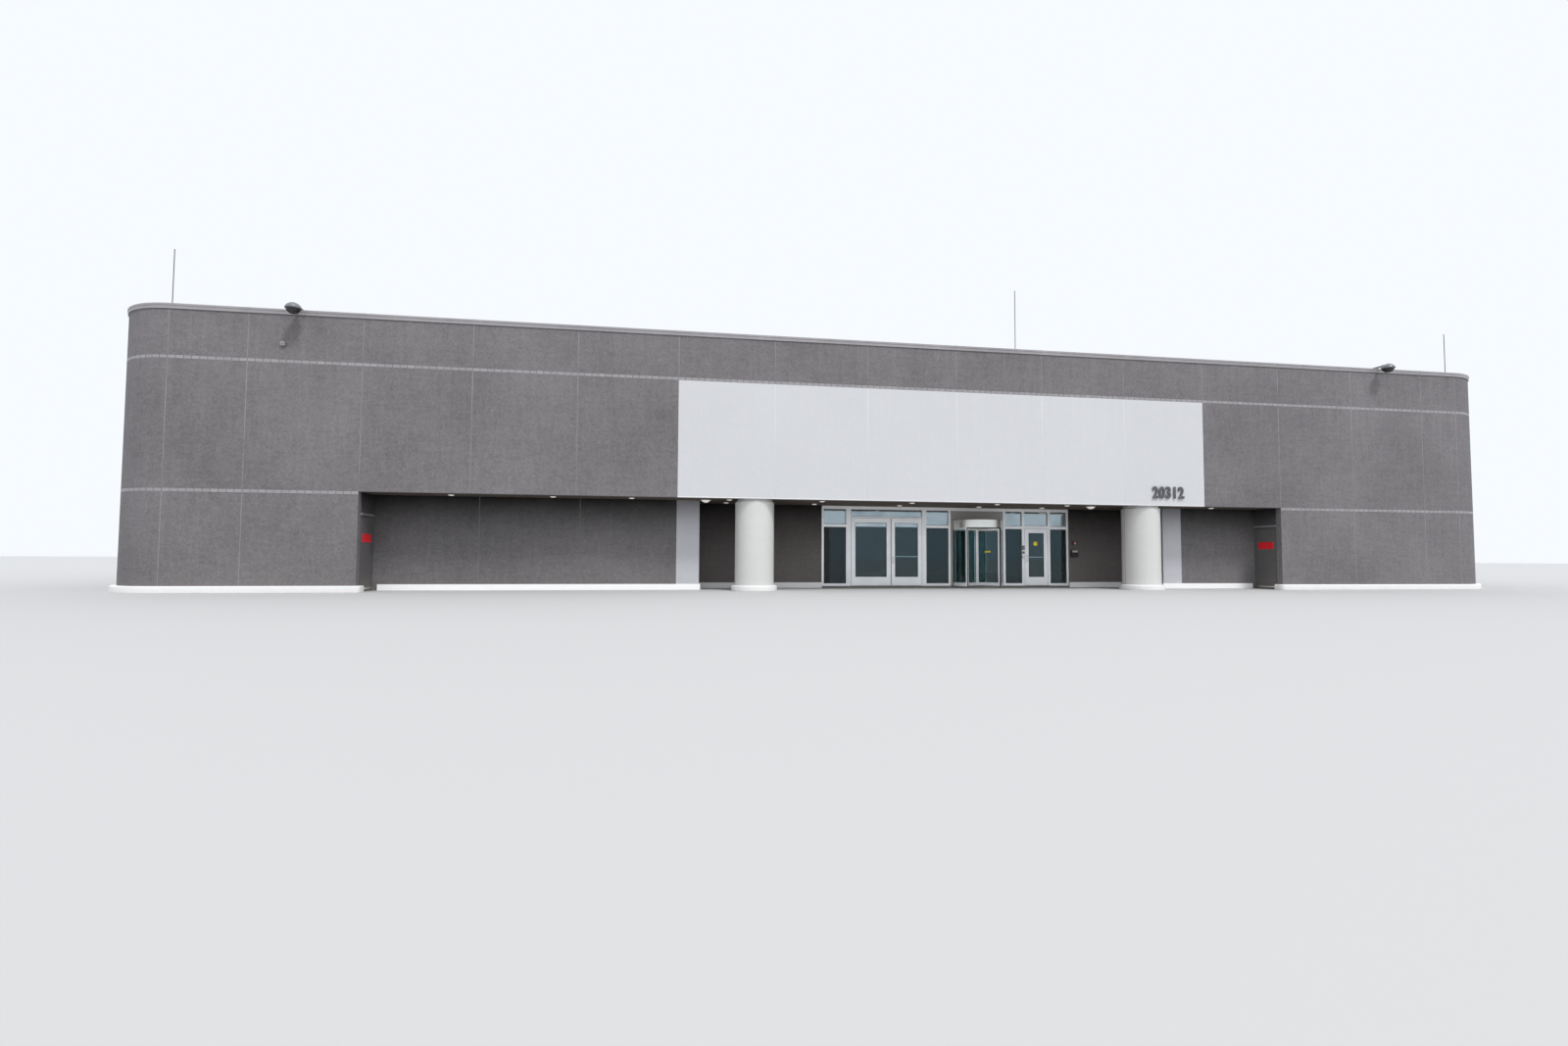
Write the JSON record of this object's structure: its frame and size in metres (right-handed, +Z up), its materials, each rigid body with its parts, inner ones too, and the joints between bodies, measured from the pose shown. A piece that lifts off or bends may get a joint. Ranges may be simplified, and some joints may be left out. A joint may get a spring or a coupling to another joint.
{
  "type": "industrial building, 1:2 scale model",
  "caption": "Single-storey flat-roofed retail building with rounded corners, tile belts, a recessed entrance with columns, hinged and revolving doors, at 1:2 scale.",
  "frame": {"origin": "middle of the plan, on the ground under the floor slab", "axes": "+X along the front to the right as seen from the street, +Y into the building, +Z up"},
  "size_m": [23.569, 14.3908, 5.0925],
  "materials": {
    "dark_wall": "coated precast concrete panels, dark grey, fine vertical texture",
    "light_wall": "light grey painted panels",
    "belt_tile": "pale grey tiles",
    "white_plinth": "white painted concrete",
    "coping_metal": "grey coated metal",
    "soffit_board": "dark brown-grey boards",
    "concrete": "plain concrete",
    "roof_felt": "grey roofing membrane",
    "column_paint": "light grey column covers",
    "aluminium_frame": "clear anodised aluminium",
    "dark_glass": "dark reflective glass",
    "stainless": "brushed stainless steel",
    "fire_door_paint": "dark grey painted steel",
    "lamp_trim": "light fitting trims",
    "lamp_opal": "white opal domes",
    "lamp_housing": "grey cast lamp housings",
    "black_rubber": "black brush seals",
    "box_paint": "small wall boxes"
  },
  "bodies": {
    "building": {"floor_slab": "concrete", "front_walls": "dark_wall", "parapet_wall_front": "dark_wall", "header_walls": "dark_wall", "entrance_fascia": "light_wall", "side_walls": "dark_wall", "back_wall": "dark_wall", "corner_walls": "dark_wall", "tile_belts": "belt_tile", "coping_straights": "coping_metal", "coping_corners": "coping_metal", "plinth_straights": "white_plinth", "plinth_corners": "white_plinth", "recess_walls": "dark_wall", "light_piers": "light_wall", "entrance_side_walls": "dark_wall", "entrance_walls": "dark_wall", "fire_door_lintels": "dark_wall", "recess_plinths": "white_plinth", "roof_deck": "roof_felt", "soffit": "soffit_board", "downlights": "lamp_trim", "dome_lights": "lamp_opal", "columns": "column_paint", "column_base_rings": "white_plinth", "storefront_posts": "aluminium_frame", "storefront_head": "aluminium_frame", "storefront_rails": "aluminium_frame", "storefront_glass": "dark_glass", "fire_door_frames": "fire_door_paint", "revolving_door_drum_glass": "dark_glass", "revolving_door_drum_frame": "aluminium_frame", "revolving_door_canopy": "stainless", "revolving_door_floor": "concrete", "revolving_door_surround": "aluminium_frame", "floodlights": "lamp_housing", "roof_rods": "coping_metal", "wall_boxes": "box_paint"},
    "double_door_left_leaf": {"double_door_left": "aluminium_frame", "double_door_left_glass": "dark_glass"},
    "double_door_right_leaf": {"double_door_right": "aluminium_frame", "double_door_right_glass": "dark_glass", "double_door_right_furniture": "stainless"},
    "single_door_leaf": {"single_door": "aluminium_frame", "single_door_glass": "dark_glass", "single_door_furniture": "stainless"},
    "revolving_door_rotor": {"revolving_door_wings": "aluminium_frame", "revolving_door_shaft": "aluminium_frame", "revolving_door_wing_glass": "dark_glass", "revolving_door_seals": "black_rubber"},
    "fire_door_left_leaf": {"fire_door_left": "fire_door_paint"},
    "fire_door_right_leaf": {"fire_door_right": "fire_door_paint"}
  },
  "joints": [
    {"name": "double_door_left_hinge", "type": "hinge", "parent": "building", "child": "double_door_left_leaf", "pos_m": [-0.5735, -5.695, 0.6], "axis": [0, 0, -1], "range_deg": [0, 90]},
    {"name": "double_door_right_hinge", "type": "hinge", "parent": "building", "child": "double_door_right_leaf", "pos_m": [0.7555, -5.695, 0.6], "axis": [0, 0, 1], "range_deg": [0, 90]},
    {"name": "single_door_hinge", "type": "hinge", "parent": "building", "child": "single_door_leaf", "pos_m": [3.2215, -5.695, 0.6], "axis": [0, 0, 1], "range_deg": [0, 90]},
    {"name": "revolving_door_spin", "type": "hinge", "parent": "building", "child": "revolving_door_rotor", "pos_m": [1.8185, -5.6615, 0.555], "axis": [0, 0, 1], "continuous": true},
    {"name": "fire_door_left_hinge", "type": "hinge", "parent": "building", "child": "fire_door_left_leaf", "pos_m": [-8.2525, -6.8805, 0.56], "axis": [0, 0, -1], "range_deg": [0, 90]},
    {"name": "fire_door_right_hinge", "type": "hinge", "parent": "building", "child": "fire_door_right_leaf", "pos_m": [6.9775, -6.8805, 0.56], "axis": [0, 0, 1], "range_deg": [0, 90]}
  ]
}
